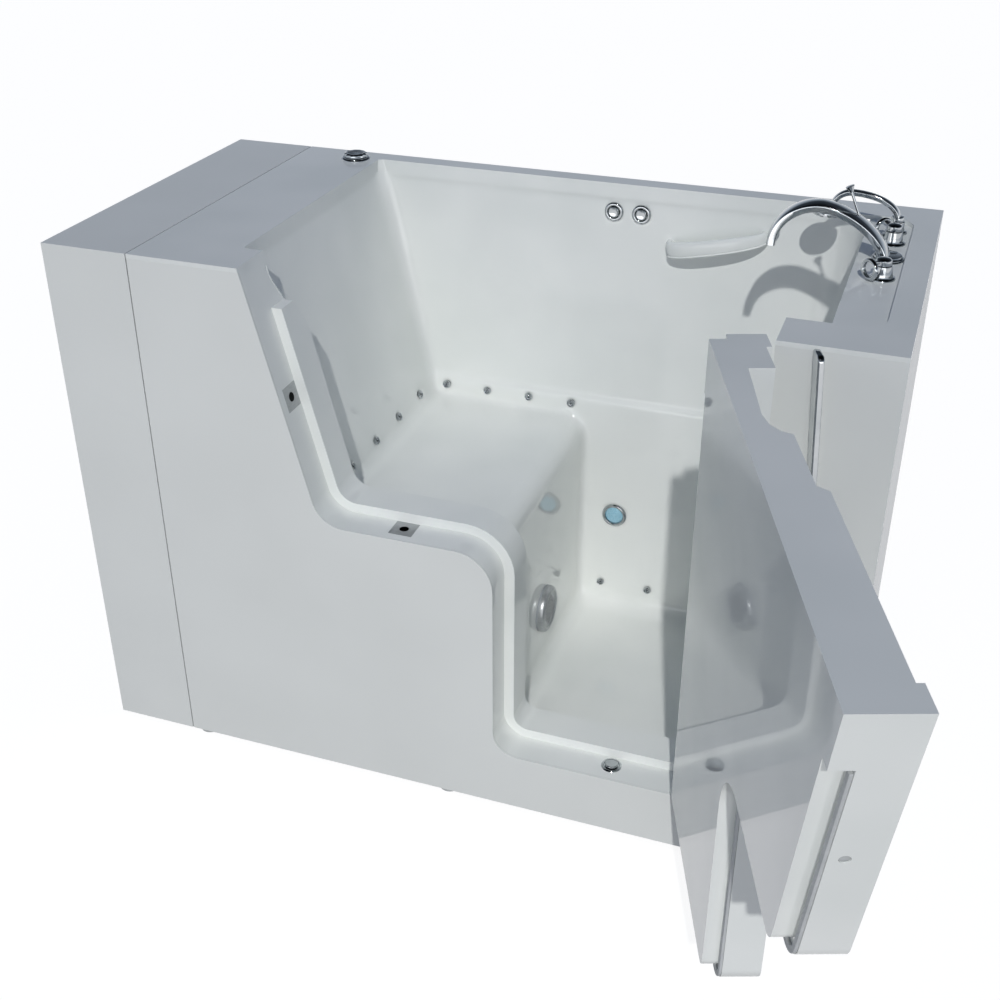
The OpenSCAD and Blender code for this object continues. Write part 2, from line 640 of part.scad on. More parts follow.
module door_gasket() place() color("gainsboro") swing() below(rim_top - 4)
  along_y(plug, y_seal - 0.3) difference() {
    polygon(opening(edge_gap + 1, edge_gap + 3, hinge_gap + 13, height));
    polygon(opening(edge_gap + 11, edge_gap + 13, hinge_gap + 23, top));
  }

// Two bolts driven together by the lever on the outer face
module upper_bolt_line(p, r, l) translate([edge_x(bolt_z, 0), plate_y, bolt_z])
  rotate([0, 90 - lean, 0]) translate([0, 0, p]) cylinder(r = r, h = l);
module lower_bolt_line(p, r, l) translate([bolt_x, plate_y, step_height + p])
  cylinder(r = r, h = l);
module upper_bolt() place() color("silver") swing() {
  upper_bolt_line(edge_gap + 1.5, bolt_r, 50);
  upper_bolt_line(edge_gap + 50, 4, 50);
}
module lower_bolt() place() color("silver") swing() {
  lower_bolt_line(edge_gap + 1.5, bolt_r, 50);
  lower_bolt_line(edge_gap + 50, 4, 50);
}
module latch_plate() place() color("silver") swing() difference() {
  translate([lever_x, 0, lever_z]) rod_y(6, 9, 30);
  translate([lever_x, 0, lever_z]) rod_y(0, 20, 6.05);
}
module latch_lever() place() color("silver") swing() translate([lever_x, 0, lever_z]) {
  rod_y(-14, 38, 6);
  rod_y(-14, 5.7, 16);
  box([-14, -14, -120], [14, -4, 0]);
  translate([0, 0, -120]) rod_y(-14, -4, 14);
}

tub_shell();
front_surround();
front_panel();
end_panel();
extension_panel();
support_frame();
levelling_feet();
equipment_tray();
pump_volute();
pump_motor();
control_box();
suction_body();
suction_cover();
suction_pipe();
jet_nozzles();
jet_pipework();
light_housing();
light_lens();
floor_drain();
drain_strainer();
waste_pipe();
threshold_drain();
threshold_cap();
striker_plates();
grab_handle();
grab_bar();
button_bezels();
pump_button();
light_button();
air_control_base();
air_control_knob();
spout();
spout_collar();
diverter_rod();
tap_bases();
hot_handle();
cold_handle();
shower_cradle();
hand_shower();
mixer_body();
hinge_jamb_leaves();
hinge_pins();
hinge_door_leaves();
door_outer();
door_inner();
door_gasket();
latch_plate();
latch_lever();
upper_bolt();
lower_bolt();
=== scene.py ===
import json
import math

import bmesh
import bpy
from mathutils import Euler, Matrix, Vector

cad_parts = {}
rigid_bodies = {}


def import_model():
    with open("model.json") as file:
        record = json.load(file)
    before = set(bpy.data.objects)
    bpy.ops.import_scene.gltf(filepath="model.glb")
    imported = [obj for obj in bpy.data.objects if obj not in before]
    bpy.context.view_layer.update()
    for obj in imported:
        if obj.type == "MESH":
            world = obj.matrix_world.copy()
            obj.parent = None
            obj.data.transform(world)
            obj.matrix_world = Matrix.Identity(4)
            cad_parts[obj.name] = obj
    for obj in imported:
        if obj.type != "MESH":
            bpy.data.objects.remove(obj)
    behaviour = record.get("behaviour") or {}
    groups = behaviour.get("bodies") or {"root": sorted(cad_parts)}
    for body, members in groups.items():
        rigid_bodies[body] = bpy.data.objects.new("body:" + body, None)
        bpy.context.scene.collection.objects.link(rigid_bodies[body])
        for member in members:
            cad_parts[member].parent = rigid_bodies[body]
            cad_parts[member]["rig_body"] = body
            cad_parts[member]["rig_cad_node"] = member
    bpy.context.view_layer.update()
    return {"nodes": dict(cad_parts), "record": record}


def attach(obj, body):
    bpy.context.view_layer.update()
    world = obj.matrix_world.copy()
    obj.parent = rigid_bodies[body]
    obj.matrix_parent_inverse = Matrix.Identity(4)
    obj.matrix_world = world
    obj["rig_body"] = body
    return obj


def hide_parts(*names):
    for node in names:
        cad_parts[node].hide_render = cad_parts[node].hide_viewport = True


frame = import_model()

bl_info = {
    "name": "Walk-in Bathtub Maker",
    "version": (1, 0, 0),
    "blender": (4, 5, 0),
    "location": "View3D > Sidebar > Bathtub",
    "description": "Dresses a walk-in bathtub with an L-shaped door: gelcoat, chrome taps, jets and a studio",
    "category": "Object",
}

NODES = frame["nodes"]
MM = 0.001
# The model's origin is the centre of the footprint; drawings count from its left front corner
CORNER = Vector((-0.762, -0.3683, 0.0))
# The same centre in the drawing's own millimetres
CENTRE_X, CENTRE_Y = 762.0, 368.3
# Heights over the floor in millimetres: deck, tap shelf, seat, footwell, threshold and opening's step
DECK, SHELF, SEAT, FLOOR, SILL, STEP = 1079.5, 1071.5, 548.0, 62.0, 135.0, 588.0
# Back wall near its top, and under the cove over the seat, in millimetres from the front
BACK, LOW = 697.6, 680.6
# Backrest's foot, riser under the seat's edge and row of taps, in millimetres from the left
BACKREST, RISER, TAPS = 482.0, 838.0, 1448.0
# The backrest and the opening's left edge lean by the same angle, in degrees
LEAN = 14.0
TILT = math.tan(math.radians(LEAN))
# Turns in degrees that make an upright piece point to the front and to the right
TO_FRONT, TO_RIGHT = (90, 0, 0), (0, 90, 0)
# Places of fittings in millimetres
SUCTION_Y, SUCTION_Z = 400.0, 215.0
LIGHT = (918.0, LOW, 310.0)
DIAL = (309.8, 681.6, DECK)
THRESHOLD = (1095.0, 42.0, SILL)
SPOUT_Y, HOT_Y, COLD_Y, SHOWER_Y = 443.0, 345.0, 533.0, 597.0
# The latch lever's axle on the shut door
LEVER_X, LEVER_Z = 655.0, 800.0
# The door's pin, and how far the door stands open at rest, in degrees
HINGE = (1307.0, 5.0, 0.0)
DOOR_OPEN = 110.0
# The camera's place in metres and its turns in degrees, found from the photograph's straight edges
CAMERA_PLACE = (0.801, -2.2943, 1.8952)
CAMERA_TURNS = (59.956, 0.0, 19.527)
# The way the key light shines, found from the shadows
SUN_WAY = (-0.26, 1.0, -0.91)
# The key light's strength, and how wide it looks in degrees
SUN_POWER, SUN_WIDTH = 1.62, 1.2
# The front light's place and size in metres, and its watts
FILL_PLACE, FILL_SIZE, FILL_POWER = (0.9, -3.6, 0.9), (5.0, 1.4), 31


def at(x, y, z):
    """A point of the drawing, in millimetres from the left front corner, as metres in the model."""
    return CORNER + Vector((x, y, z)) * MM


def ramp(value, start, end):
    """How far a value has come from start to end, between 0 and 1."""
    return min(1.0, max(0.0, (value - start) / (end - start)))


def fade(distance, reach):
    """Falls from 1 at no distance to 0 at the reach."""
    return max(0.0, 1 - abs(distance) / reach)


def linear(code):
    """An sRGB hex colour as linear red, green, blue and alpha."""
    parts = [int(code[i:i + 2], 16) / 255 for i in (1, 3, 5)]
    return [c / 12.92 if c <= 0.04045 else ((c + 0.055) / 1.055) ** 2.4 for c in parts] + [1.0]


def hexed(colour):
    """A property's linear colour as an sRGB hex string."""
    return "#" + "".join("%02X" % round(255 * (c * 12.92 if c <= 0.0031308 else
                         1.055 * c ** (1 / 2.4) - 0.055)) for c in colour[:3])


# Finishes

def node(tree, kind, values=None, links=None, **settings):
    """Adds one node with its settings, its input values and its incoming links."""
    made = tree.nodes.new("ShaderNode" + kind)
    for key, value in settings.items():
        setattr(made, key, value)
    for key, value in (values or {}).items():
        made.inputs[key].default_value = value
    for key, socket in (links or {}).items():
        tree.links.new(socket, made.inputs[key])
    return made


def finish(name, pale, dark, patch, rough, grain, peel, stretch=(1, 1, 1), cells=False, **shader):
    """A surface whose colour drifts over patches and whose gloss drifts over grains, with fine relief.

    patch, grain and the first value of peel are sizes in millimetres; the second is the relief's height.
    rough is the range of the roughness, and with cells the colour goes by grains instead of patches.
    """
    made = bpy.data.materials.get(name) or bpy.data.materials.new(name)
    made.use_nodes = True
    tree = made.node_tree
    tree.nodes.clear()
    place = node(tree, "TexCoord")
    drawn = node(tree, "Mapping", {"Scale": stretch}, {"Vector": place.outputs["Object"]})
    where = {"Vector": drawn.outputs["Vector"]}
    drift = node(tree, "TexNoise", {"Scale": 1 / (patch * MM), "Detail": 2.0}, where)
    spots = node(tree, "TexVoronoi" if cells else "TexNoise", {"Scale": 1 / (grain * MM)}, where)
    spot = spots.outputs["Color" if cells else "Fac"]
    tint = node(tree, "ValToRGB", None, {"Fac": spot if cells else drift.outputs["Fac"]})
    for element, position, code in zip(tint.color_ramp.elements, (0.35, 0.65), (dark, pale)):
        element.position = position
        element.color = linear(code)
    gloss = node(tree, "MapRange", {"From Min": 0.3, "From Max": 0.7, "To Min": rough[0], "To Max": rough[1]},
                 {"Value": spot})
    fine = node(tree, "TexNoise", {"Scale": 1 / (peel[0] * MM), "Detail": 2.0}, where)
    relief = node(tree, "Bump", {"Strength": 1.0, "Distance": peel[1] * MM},
                  {"Height": fine.outputs["Fac"]})
    skin = node(tree, "BsdfPrincipled", shader, {
        "Base Color": tint.outputs["Color"], "Roughness": gloss.outputs["Result"],
        "Normal": relief.outputs["Normal"]})
    node(tree, "OutputMaterial", None, {"Surface": skin.outputs["BSDF"]})
    return made


def make_finishes(colours):
    """Every finish of the tub, each named for its real material."""
    # Sprayed gelcoat on moulded acrylic: wet, pale, with a faint orange peel in the highlights
    finish("gelcoat_white", hexed(colours.gelcoat), "#E8EBE7", 260, (0.02, 0.035), 60, (9, 0.002), IOR=1.5)
    # Thermoformed skirt panels: the same white, a little duller, with a slow waviness
    finish("panel_white", hexed(colours.skirt), "#E4E6E2", 320, (0.20, 0.22), 150, (12, 0.004), IOR=1.49)
    # Polished chrome plate on brass: a dark mirror with the ghost of polishing marks
    finish("chrome", "#CED1D3", "#BFC3C6", 30, (0.05, 0.10), 6, (4, 0.0015), Metallic=1.0)
    # Satin stainless steel: brushed one way, so highlights smear
    finish("satin_steel", "#B7BABB", "#ABAEAF", 14, (0.28, 0.42), 2.5, (2, 0.004), (1, 1, 6), Metallic=0.65)
    # Powder coat on welded square tube: dark, with a fine pebble
    finish("frame_steel", "#4C4F52", "#414447", 90, (0.45, 0.6), 5, (3, 0.03), IOR=1.5)
    # Black moulded polypropylene: matt, lightly mottled
    finish("pump_plastic", "#242527", "#1B1C1E", 60, (0.45, 0.6), 6, (2.5, 0.03), IOR=1.49)
    # Grey enamel on a pressed steel motor case
    finish("motor_paint", "#707880", "#636A72", 80, (0.3, 0.4), 20, (6, 0.01), IOR=1.5)
    # White PVC pressure pipe: smooth extrusion with lengthwise drift
    finish("pipe_plastic", "#E4E3DC", "#D6D5CE", 120, (0.3, 0.38), 30, (8, 0.008), IOR=1.53)
    # Silicone seal: soft grey, no sharp highlight
    finish("seal_rubber", "#C9CBCB", "#BDC0C0", 50, (0.6, 0.72), 8, (3, 0.02), IOR=1.41)
    # Frosted polycarbonate lens over a pale blue lamp
    finish("lens_blue", "#A4CFDF", "#92C3D6", 12, (0.22, 0.32), 3, (1.5, 0.01), IOR=1.58)
    # Rough cast brass: yellow brown, sandy
    finish("valve_brass", "#B8935A", "#9C7A45", 25, (0.4, 0.6), 3, (2, 0.05), Metallic=1.0)
    # Hot-dip galvanised sheet: spangles of differing grey
    finish("tray_steel", "#A7ABAD", "#8E9396", 40, (0.32, 0.5), 14, (3, 0.01), cells=True, Metallic=1.0)
    # Moulded dust cup behind a striker plate: deep and matt, and coloured near black as painted shade for the
    # dark inside the bolt hole
    finish("bolt_hole_shade_black", "#08090A", "#050506", 20, (0.7, 0.85), 4, (2, 0.02), IOR=1.46)
    # Grey moulded ABS of the suction fitting
    finish("grey_plastic", "#9A9FA3", "#8D9296", 40, (0.35, 0.45), 6, (3, 0.01), IOR=1.54)


# Making

def only(*pieces):
    """Selects these pieces and nothing else, the first one active."""
    bpy.ops.object.select_all(action="DESELECT")
    for piece in pieces:
        piece.select_set(True)
    bpy.context.view_layer.objects.active = pieces[0]


def bake():
    """Puts the active piece's place into its mesh, so its object sits at the origin."""
    bpy.ops.object.transform_apply(location=True, rotation=True, scale=True)


def dress(piece, body, finish_name, *nodes, slot=None):
    """Gives a piece its finish, the body it rides on and the built nodes it stands for."""
    piece.data.materials.clear()
    piece.data.materials.append(bpy.data.materials[finish_name])
    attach(piece, body)
    if nodes:
        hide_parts(*nodes)
    return piece


def copy_of(name, new):
    """A copy of a built node with its loose triangles merged into whole faces."""
    only(NODES[name])
    bpy.ops.object.duplicate()
    piece = bpy.context.object
    bpy.ops.object.parent_clear(type="CLEAR_KEEP_TRANSFORM")
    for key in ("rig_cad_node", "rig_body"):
        if key in piece:
            del piece[key]
    piece.name = new
    bpy.ops.object.mode_set(mode="EDIT")
    bpy.ops.mesh.select_all(action="SELECT")
    bpy.ops.mesh.remove_doubles(threshold=0.00002)
    bpy.ops.mesh.dissolve_limited(angle_limit=math.radians(0.3))
    bpy.ops.object.mode_set(mode="OBJECT")
    return piece


def soften(piece, width, angle=32, segments=3):
    """Rounds the sharp edges of a piece and smooths the rest."""
    only(piece)
    if width:
        bpy.ops.object.modifier_add(type="BEVEL")
        bevel = piece.modifiers[-1]
        bevel.width = width * MM
        bevel.segments = segments
        bevel.limit_method = "ANGLE"
        bevel.angle_limit = math.radians(angle)
        bpy.ops.object.modifier_apply(modifier=bevel.name)
    bpy.ops.object.shade_smooth_by_angle(angle=math.radians(40))
    bpy.ops.object.modifier_add(type="WEIGHTED_NORMAL")
    piece.modifiers[-1].keep_sharp = True
    bpy.ops.object.modifier_apply(modifier=piece.modifiers[-1].name)


def facing(x, y, z, lean=(0, 0, 0)):
    """Where a piece modelled upright at the origin goes: place in millimetres, turns in degrees."""
    turns = Euler([math.radians(a) for a in lean]).to_matrix().to_4x4()
    return Matrix.Translation(at(x, y, z)) @ turns


def lofted(name, rings):
    """A solid drawn out of a filled disc: its face is extruded and each new rim is put in its place.

    A ring is a list of points in metres.
    """
    bpy.ops.object.select_all(action="DESELECT")
    bpy.ops.mesh.primitive_circle_add(vertices=len(rings[0]), radius=1, fill_type="NGON")
    piece = bpy.context.object
    piece.name = name
    bpy.ops.object.mode_set(mode="EDIT")
    mesh = bmesh.from_edit_mesh(piece.data)
    rim = sorted(mesh.verts, key=lambda v: v.index)
    for count, ring in enumerate(rings):
        if count:
            bpy.ops.mesh.extrude_region_move()
            mesh = bmesh.from_edit_mesh(piece.data)
            fresh = [v for v in mesh.verts if v.select]
            rim = [min(fresh, key=lambda v: (v.co - p).length_squared) for p in rings[count - 1]]
        for vert, place in zip(rim, ring):
            vert.co = place
    bpy.ops.mesh.select_all(action="SELECT")
    bpy.ops.mesh.remove_doubles(threshold=0.000004)
    bpy.ops.mesh.normals_make_consistent(inside=False)
    bpy.ops.object.mode_set(mode="OBJECT")
    soften(piece, 0)
    return piece


def turned(name, outline, sides=48):
    """A turned piece, standing on the origin, from its outline of radii and heights in millimetres."""
    corners = [2 * math.pi * k / sides for k in range(sides)]
    return lofted(name, [[Vector((r * math.cos(a), r * math.sin(a), z)) * MM for a in corners]
                         for r, z in outline])


def oval(across, up, square, sides=24):
    """A closed section of half sizes across and up: an ellipse at 2, a soft rectangle above it."""
    points = []
    for k in range(sides):
        c, s = math.cos(2 * math.pi * k / sides), math.sin(2 * math.pi * k / sides)
        points.append((across * math.copysign(abs(c) ** (2 / square), c),
                       up * math.copysign(abs(s) ** (2 / square), s)))
    return points


def ring_at(section, place, across, up):
    """A section's points, in millimetres, set in space along two directions."""
    return [place + (across * a + up * b) * MM for a, b in section]


def put(piece, place):
    """Moves a piece modelled at the origin to its place and bakes it in."""
    piece.matrix_world = place
    only(piece)
    bake()
    return piece


def copied(piece, places):
    """Copies a piece to each place, each copy with its own mesh, and joins the copies."""
    copies = []
    for place in places:
        only(piece)
        bpy.ops.object.duplicate(linked=False)
        copies.append(put(bpy.context.object, place))
    name = piece.name
    bpy.data.objects.remove(piece)
    return joined(name, *copies)


def joined(name, *pieces):
    """Joins pieces into the first one."""
    only(*pieces)
    if len(pieces) > 1:
        bpy.ops.object.join()
    bpy.context.object.name = name
    return bpy.context.object


def cut(piece, tool, operation="DIFFERENCE"):
    """Cuts one piece with another, or grows them together, and clears the tool away."""
    only(piece)
    bpy.ops.object.modifier_add(type="BOOLEAN")
    change = piece.modifiers[-1]
    change.operation, change.solver, change.object = operation, "EXACT", tool
    bpy.ops.object.modifier_apply(modifier=change.name)
    bpy.data.objects.remove(tool)
    return piece


def block(name, low, high, width):
    """A block between two corners with its edges rounded, all in millimetres: the start of a housing."""
    bpy.ops.object.select_all(action="DESELECT")
    bpy.ops.mesh.primitive_cube_add(size=1, location=(at(*low) + at(*high)) / 2,
                                    scale=(Vector(high) - Vector(low)) * MM)
    piece = bpy.context.object
    piece.name = name
    bake()
    soften(piece, width)
    return piece


def upright(name, across, deep, bottom, top, width):
    """A block over the origin, of half sizes across and deep, for a piece that is put in place later."""
    return block(name, (CENTRE_X - across, CENTRE_Y - deep, bottom),
                 (CENTRE_X + across, CENTRE_Y + deep, top), width)


def swung(piece):
    """Opens a piece drawn on the shut door to the door's angle at rest."""
    pin = at(*HINGE)
    turn = Matrix.Rotation(math.radians(DOOR_OPEN), 4, "Z")
    return put(piece, Matrix.Translation(pin) @ turn @ Matrix.Translation(-pin))


# Values a user may change

class TubColours(bpy.types.PropertyGroup):
    """Colours of the tub."""
    gelcoat: bpy.props.FloatVectorProperty(
        name="Gelcoat", description="White of the moulded tub and door", subtype="COLOR", size=3,
        min=0, max=1, default=linear("#F0F2EE")[:3])
    skirt: bpy.props.FloatVectorProperty(
        name="Skirt", description="White of the outer panels", subtype="COLOR", size=3,
        min=0, max=1, default=linear("#E8EAE6")[:3])


class TubSizes(bpy.types.PropertyGroup):
    """Sizes of the tub's detail."""
    edge: bpy.props.FloatProperty(
        name="Edge radius", description="Rounding of the moulded edges", unit="LENGTH",
        min=0.001, max=0.01, default=0.003)
    grid: bpy.props.FloatProperty(
        name="Moulding grid", description="Spacing of the points that the tub is moulded from",
        unit="LENGTH", min=0.003, max=0.012, default=0.004)
    camera_focal: bpy.props.FloatProperty(
        name="Lens", description="Focal length of the camera in millimetres", min=30, max=90,
        default=48.54)


# Operators

class MakeStage(bpy.types.Operator):
    """Adds the floor, the studio light, the white background and the camera"""
    bl_idname = "bathtub.make_stage"
    bl_label = "Stage"

    def execute(self, context):
        bpy.ops.object.select_all(action="DESELECT")
        bpy.ops.mesh.primitive_plane_add(size=24, location=(0, 0, 0))
        floor = context.object
        floor.name = "floor"
        bpy.ops.object.mode_set(mode="EDIT")
        bpy.ops.mesh.subdivide(number_cuts=3)
        bpy.ops.object.mode_set(mode="OBJECT")
        floor.data.materials.append(self.floor_finish())
        self.surroundings(context.scene)
        bpy.ops.object.light_add(type="SUN")
        sun = context.object
        sun.name = "key_light"
        sun.rotation_euler = Vector(SUN_WAY).to_track_quat("-Z", "Y").to_euler()
        sun.data.energy = SUN_POWER
        sun.data.angle = math.radians(SUN_WIDTH)
        bpy.ops.object.light_add(type="AREA", location=FILL_PLACE)
        fill = context.object
        fill.name = "front_fill"
        fill.data.shape = "RECTANGLE"
        fill.data.size, fill.data.size_y = FILL_SIZE
        fill.data.energy = FILL_POWER
        fill.rotation_euler = (math.radians(90), 0, 0)
        bpy.ops.object.camera_add(location=CAMERA_PLACE, rotation=[math.radians(a) for a in CAMERA_TURNS])
        context.object.data.lens = context.scene.tub_sizes.camera_focal
        context.object.data.sensor_width = 36
        context.scene.camera = context.object
        context.scene.view_settings.view_transform = "Standard"
        return {"FINISHED"}

    def floor_finish(self):
        """Pale matt floor that the camera sees as white, apart from the object's shadow."""
        made = bpy.data.materials.new("matt_floor_paint")
        made.use_nodes = True
        tree = made.node_tree
        tree.nodes.clear()
        path = node(tree, "LightPath")
        dimmed = node(tree, "Math", {1: 0.85}, {0: path.outputs["Is Glossy Ray"]}, operation="MULTIPLY")
        seen = node(tree, "Math", None, {0: path.outputs["Is Camera Ray"],
                                         1: dimmed.outputs[0]}, operation="MAXIMUM")
        spread = node(tree, "BsdfDiffuse", {"Color": linear("#7A7A7A")})
        glow = node(tree, "Emission", {"Color": linear("#FFFFFF"), "Strength": 0.9})
        none = node(tree, "Emission", {"Strength": 0.0})
        shown = node(tree, "MixShader", None, {"Fac": seen.outputs[0], 1: none.outputs[0],
                                               2: glow.outputs[0]})
        both = node(tree, "AddShader", None, {0: spread.outputs[0], 1: shown.outputs[0]})
        node(tree, "OutputMaterial", None, {"Surface": both.outputs[0]})
        return made

    def surroundings(self, scene):
        """White for the camera; a pale horizon and a dimmer ceiling for gloss and for soft light."""
        world = bpy.data.worlds.new("studio")
        scene.world = world
        world.use_nodes = True
        tree = world.node_tree
        tree.nodes.clear()
        place = node(tree, "TexCoord")
        split = node(tree, "SeparateXYZ", None, {"Vector": place.outputs["Generated"]})
        level = node(tree, "ValToRGB", None, {"Fac": split.outputs["Z"]})
        horizon, zenith = level.color_ramp.elements
        horizon.color = linear("#E6E8EA")
        zenith.color = linear("#08090A")
        zenith.position = 0.85
        for height, code in ((0.16, "#B4BECB"), (0.4, "#3C434C")):
            level.color_ramp.elements.new(height).color = linear(code)
        soft = node(tree, "MapRange", {"From Min": 0.0, "From Max": 0.5, "To Min": 0.27, "To Max": 0.2},
                    {"Value": split.outputs["Z"]})
        path = node(tree, "LightPath")
        clear = node(tree, "Math", None, {0: path.outputs["Is Camera Ray"],
                                          1: path.outputs["Is Transmission Ray"]}, operation="MAXIMUM")
        white = node(tree, "Background", {"Color": linear("#FFFFFF"), "Strength": 1.0})
        shine = node(tree, "Background", {"Strength": 1.0}, {"Color": level.outputs["Color"]})
        fill = node(tree, "Background", {"Color": linear("#A9C2F2")}, {"Strength": soft.outputs[0]})
        first = node(tree, "MixShader", None, {"Fac": path.outputs["Is Glossy Ray"],
                                               1: fill.outputs[0], 2: shine.outputs[0]})
        last = node(tree, "MixShader", None, {"Fac": clear.outputs[0], 1: first.outputs[0],
                                              2: white.outputs[0]})
        node(tree, "OutputWorld", None, {"Surface": last.outputs[0]})


class DressNodes(bpy.types.Operator):
    """Gives every built piece the finish of its real material"""
    bl_idname = "bathtub.dress_nodes"
    bl_label = "Finishes"

    def execute(self, context):
        make_finishes(context.scene.tub_colours)
        for part in frame["record"]["subparts"]:
            piece = NODES[part["node"]]
            piece.data.materials.clear()
            piece.data.materials.append(bpy.data.materials[part["material_slot"]])
        return {"FINISHED"}


class MakeShell(bpy.types.Operator):
    """Moulds the tub with soft inner corners, and rounds its reveal and the outer panels"""
    bl_idname = "bathtub.make_shell"
    bl_label = "Tub and panels"

    # Height in millimetres over which the tub keeps a crisp rim
    RIM = 1056
    # Middle of the rounding at the back wall's foot, and how far the rounding reaches, in millimetres
    WALL, REACH = 690, 110
    # In millimetres: the filler's points right of this line face the tub, and the width of the seam there
    SEAM, SEAM_WIDTH = 177, 2.2
    # Most triangles that the moulded tub is thinned to, before its rim is joined on
    TRIANGLES = 170000

    def execute(self, context):
        sizes = context.scene.tub_sizes
        tub = copy_of("tub_shell", "moulded_tub")
        self.mould(tub, sizes.grid)
        dress(tub, "tub", "gelcoat_white", "tub_shell")
        for name, new, width, finish_name in (
                ("front_surround", "door_reveal", sizes.edge / MM, "gelcoat_white"),
                ("front_panel", "front_skirt", 0.5, "panel_white"),
                ("end_panel", "end_skirt", 0.5, "panel_white"),
                ("extension_panel", "filler_skirt", 0.5, "panel_white")):
            piece = copy_of(name, new)
            if new == "filler_skirt":
                self.part_from_tub(piece)
            soften(piece, width)
            dress(piece, "tub", finish_name, name)
        return {"FINISHED"}

    def part_from_tub(self, piece):
        """Draws the filler's joining face back, so a dark seam shows between it and the tub."""
        only(piece)
        bpy.ops.object.mode_set(mode="EDIT")
        bpy.ops.mesh.select_mode(type="VERT")
        bpy.ops.mesh.select_all(action="DESELECT")
        mesh = bmesh.from_edit_mesh(piece.data)
        for vert in mesh.verts:
            vert.select_set((vert.co.x - CORNER.x) / MM > self.SEAM)
        mesh.select_flush(True)
        bmesh.update_edit_mesh(piece.data)
        bpy.ops.transform.translate(value=(-self.SEAM_WIDTH * MM, 0, 0))
        bpy.ops.object.mode_set(mode="OBJECT")

    def mould(self, tub, grid):
        """Melts the tub's corners together, most at the riser and down the backrest, under a crisp rim."""
        rim = copy_of("tub_shell", "rim")
        soften(rim, 1.8)
        self.keep(rim, above=True)
        only(tub)
        bpy.ops.object.modifier_add(type="REMESH")
        remesh = tub.modifiers[-1]
        remesh.mode, remesh.voxel_size, remesh.adaptivity = "VOXEL", grid, 0.0
        bpy.ops.object.modifier_apply(modifier=remesh.name)
        space = tub.vertex_groups.new(name="bathing_space")
        corner = tub.vertex_groups.new(name="riser_corner")
        for vert in tub.data.vertices:
            x, y, z = (vert.co - CORNER) / MM
            soft = ramp(z, 1052, 1038) * ramp(y, 150, 175) * ramp(x, 340, 360)
            foot = fade(x - RISER, 75) * fade(y - self.WALL, self.REACH) * ramp(z, 600, 560)
            lean = BACKREST + (SEAT - z) * TILT
            cove = fade(x - lean, self.REACH) * fade(y - self.WALL, self.REACH) * ramp(z, 1050, 990)
            near = max(foot, cove)
            if soft > 0:
                space.add([vert.index], soft, "REPLACE")
            if near > 0:
                corner.add([vert.index], min(1.0, near * 2), "REPLACE")
        # Groups go by name here, because applying a modifier makes a mesh's groups anew
        for group, turns in ((None, 1), ("bathing_space", 16), ("riser_corner", 80)):
            only(tub)
            bpy.ops.object.modifier_add(type="SMOOTH")
            melt = tub.modifiers[-1]
            melt.factor, melt.iterations = 0.5, turns
            if group:
                melt.vertex_group = group
            bpy.ops.object.modifier_apply(modifier=melt.name)
        bpy.ops.object.modifier_add(type="DECIMATE")
        thin = tub.modifiers[-1]
        thin.ratio = min(1.0, self.TRIANGLES / (2 * len(tub.data.polygons)))
        bpy.ops.object.modifier_apply(modifier=thin.name)
        self.keep(tub, above=False)
        soften(joined("moulded_tub", tub, rim), 0)

    def keep(self, piece, above):
        """Cuts a piece level under its rim, keeps what is above or below, and closes it again."""
        only(piece)
        bpy.ops.object.mode_set(mode="EDIT")
        bpy.ops.mesh.select_all(action="SELECT")
        bpy.ops.mesh.bisect(plane_co=at(0, 0, self.RIM), plane_no=(0, 0, 1), use_fill=True,
                            clear_inner=above, clear_outer=not above)
        bpy.ops.object.mode_set(mode="OBJECT")


